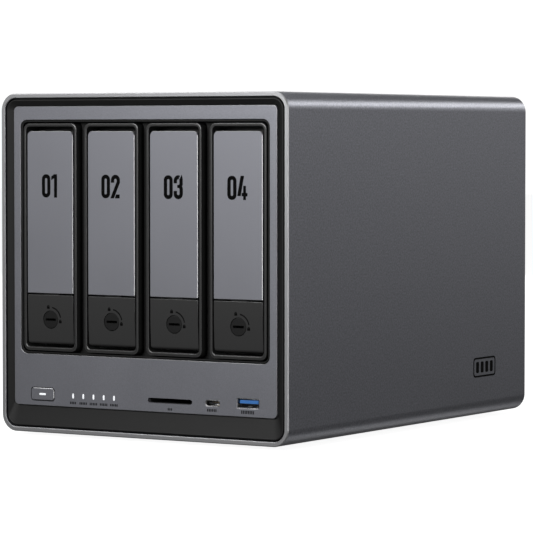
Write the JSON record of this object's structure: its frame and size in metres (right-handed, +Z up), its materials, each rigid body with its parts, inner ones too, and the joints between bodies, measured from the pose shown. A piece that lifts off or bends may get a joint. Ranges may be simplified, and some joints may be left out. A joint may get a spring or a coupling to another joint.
{
  "type": "nas enclosure",
  "caption": "Desktop network storage box: an extruded metal sleeve around upright lockable drive trays, with a row of status lights and sockets below them and a fan behind.",
  "frame": {"origin": "on the surface that the feet stand on, under the middle of the case", "axes": "+Z up, the front with the drive trays faces -Y, +X to the right seen from the front"},
  "size_m": [0.178, 0.2574, 0.18],
  "materials": {
    "anodised_aluminium": "sandblasted and anodised grey",
    "front_metal": "fine satin grey",
    "black_plastic": "finely textured black",
    "latch_plastic": "satin dark grey",
    "black_steel": "powder-coated black",
    "circuit_board": "green solder mask",
    "bare_aluminium": "bare, lightly brushed",
    "nickel_steel": "nickel-plated sheet",
    "blue_plastic": "smooth blue",
    "light_plastic": "frosted white, lit",
    "foot_rubber": "matt black"
  },
  "bodies": {
    "case": {"outer_sleeve": "anodised_aluminium", "bottom_hatch": "black_steel", "hatch_screw_1": "nickel_steel", "hatch_screw_2": "nickel_steel", "foot_front_left": "foot_rubber", "foot_front_right": "foot_rubber", "foot_rear_left": "foot_rubber", "foot_rear_right": "foot_rubber", "front_bezel": "black_plastic", "face_plate": "front_metal", "bay_surround": "black_plastic", "status_light_guide": "light_plastic", "sd_card_reader": "nickel_steel", "usb_c_port": "nickel_steel", "usb_a_port": "nickel_steel", "usb_a_tongue": "blue_plastic", "drive_cage": "black_steel", "chassis_base": "black_steel", "backplane_board": "circuit_board", "drive_connector_1": "black_plastic", "drive_connector_2": "black_plastic", "drive_connector_3": "black_plastic", "drive_connector_4": "black_plastic", "front_io_board": "circuit_board", "mainboard": "circuit_board", "heat_sink": "bare_aluminium", "rear_panel": "black_steel", "fan_frame": "black_plastic", "power_inlet": "black_plastic", "hdmi_port": "nickel_steel", "rear_usb_port_1": "nickel_steel", "rear_usb_port_2": "nickel_steel", "rear_usb_port_3": "nickel_steel", "lan_port_1": "nickel_steel", "lan_port_2": "nickel_steel"},
    "tray_1": {"tray_1_carrier": "black_plastic"},
    "tray_1_handle": {"tray_1_handle_lever": "black_plastic", "tray_1_handle_face": "front_metal"},
    "tray_1_latch": {"tray_1_latch_button": "latch_plastic"},
    "tray_1_lock_drum": {"tray_1_lock": "latch_plastic"},
    "tray_2": {"tray_2_carrier": "black_plastic"},
    "tray_2_handle": {"tray_2_handle_lever": "black_plastic", "tray_2_handle_face": "front_metal"},
    "tray_2_latch": {"tray_2_latch_button": "latch_plastic"},
    "tray_2_lock_drum": {"tray_2_lock": "latch_plastic"},
    "tray_3": {"tray_3_carrier": "black_plastic"},
    "tray_3_handle": {"tray_3_handle_lever": "black_plastic", "tray_3_handle_face": "front_metal"},
    "tray_3_latch": {"tray_3_latch_button": "latch_plastic"},
    "tray_3_lock_drum": {"tray_3_lock": "latch_plastic"},
    "tray_4": {"tray_4_carrier": "black_plastic"},
    "tray_4_handle": {"tray_4_handle_lever": "black_plastic", "tray_4_handle_face": "front_metal"},
    "tray_4_latch": {"tray_4_latch_button": "latch_plastic"},
    "tray_4_lock_drum": {"tray_4_lock": "latch_plastic"},
    "power_key": {"power_button": "front_metal", "power_button_lens": "light_plastic"},
    "reset_key": {"reset_button": "black_plastic"},
    "fan_wheel": {"fan_rotor": "black_plastic"},
    "filter": {"dust_filter": "black_steel"}
  },
  "joints": [
    {"name": "tray_1_slide", "type": "slide", "parent": "case", "child": "tray_1", "axis": [0, -1, 0], "range_m": [0, 0.18]},
    {"name": "tray_1_handle_hinge", "type": "hinge", "parent": "tray_1", "child": "tray_1_handle", "pos_m": [-0.05835, -0.1232, 0.157], "axis": [-1, 0, 0], "range_deg": [0, 40]},
    {"name": "tray_1_latch_press", "type": "slide", "parent": "tray_1", "child": "tray_1_latch", "axis": [0, 1, 0], "range_m": [0, 0.0015], "stiffness_N_per_m": 800},
    {"name": "tray_1_lock_turn", "type": "hinge", "parent": "tray_1_latch", "child": "tray_1_lock_drum", "pos_m": [-0.05835, -0.1271, 0.0615], "axis": [0, 1, 0], "range_deg": [0, 90]},
    {"name": "tray_2_slide", "type": "slide", "parent": "case", "child": "tray_2", "axis": [0, -1, 0], "range_m": [0, 0.18]},
    {"name": "tray_2_handle_hinge", "type": "hinge", "parent": "tray_2", "child": "tray_2_handle", "pos_m": [-0.01945, -0.1232, 0.157], "axis": [-1, 0, 0], "range_deg": [0, 40]},
    {"name": "tray_2_latch_press", "type": "slide", "parent": "tray_2", "child": "tray_2_latch", "axis": [0, 1, 0], "range_m": [0, 0.0015], "stiffness_N_per_m": 800},
    {"name": "tray_2_lock_turn", "type": "hinge", "parent": "tray_2_latch", "child": "tray_2_lock_drum", "pos_m": [-0.01945, -0.1271, 0.0615], "axis": [0, 1, 0], "range_deg": [0, 90]},
    {"name": "tray_3_slide", "type": "slide", "parent": "case", "child": "tray_3", "axis": [0, -1, 0], "range_m": [0, 0.18]},
    {"name": "tray_3_handle_hinge", "type": "hinge", "parent": "tray_3", "child": "tray_3_handle", "pos_m": [0.01945, -0.1232, 0.157], "axis": [-1, 0, 0], "range_deg": [0, 40]},
    {"name": "tray_3_latch_press", "type": "slide", "parent": "tray_3", "child": "tray_3_latch", "axis": [0, 1, 0], "range_m": [0, 0.0015], "stiffness_N_per_m": 800},
    {"name": "tray_3_lock_turn", "type": "hinge", "parent": "tray_3_latch", "child": "tray_3_lock_drum", "pos_m": [0.01945, -0.1271, 0.0615], "axis": [0, 1, 0], "range_deg": [0, 90]},
    {"name": "tray_4_slide", "type": "slide", "parent": "case", "child": "tray_4", "axis": [0, -1, 0], "range_m": [0, 0.18]},
    {"name": "tray_4_handle_hinge", "type": "hinge", "parent": "tray_4", "child": "tray_4_handle", "pos_m": [0.05835, -0.1232, 0.157], "axis": [-1, 0, 0], "range_deg": [0, 40]},
    {"name": "tray_4_latch_press", "type": "slide", "parent": "tray_4", "child": "tray_4_latch", "axis": [0, 1, 0], "range_m": [0, 0.0015], "stiffness_N_per_m": 800},
    {"name": "tray_4_lock_turn", "type": "hinge", "parent": "tray_4_latch", "child": "tray_4_lock_drum", "pos_m": [0.05835, -0.1271, 0.0615], "axis": [0, 1, 0], "range_deg": [0, 90]},
    {"name": "power_press", "type": "slide", "parent": "case", "child": "power_key", "axis": [0, 1, 0], "range_m": [0, 0.001], "stiffness_N_per_m": 800},
    {"name": "reset_press", "type": "slide", "parent": "case", "child": "reset_key", "axis": [0, -1, 0], "range_m": [0, 0.001], "stiffness_N_per_m": 600},
    {"name": "fan_spin", "type": "hinge", "parent": "case", "child": "fan_wheel", "pos_m": [0, 0.11, 0.106], "axis": [0, 1, 0], "continuous": true},
    {"name": "filter_pull", "type": "slide", "parent": "case", "child": "filter", "axis": [0, 1, 0], "range_m": [0, 0.04]}
  ]
}
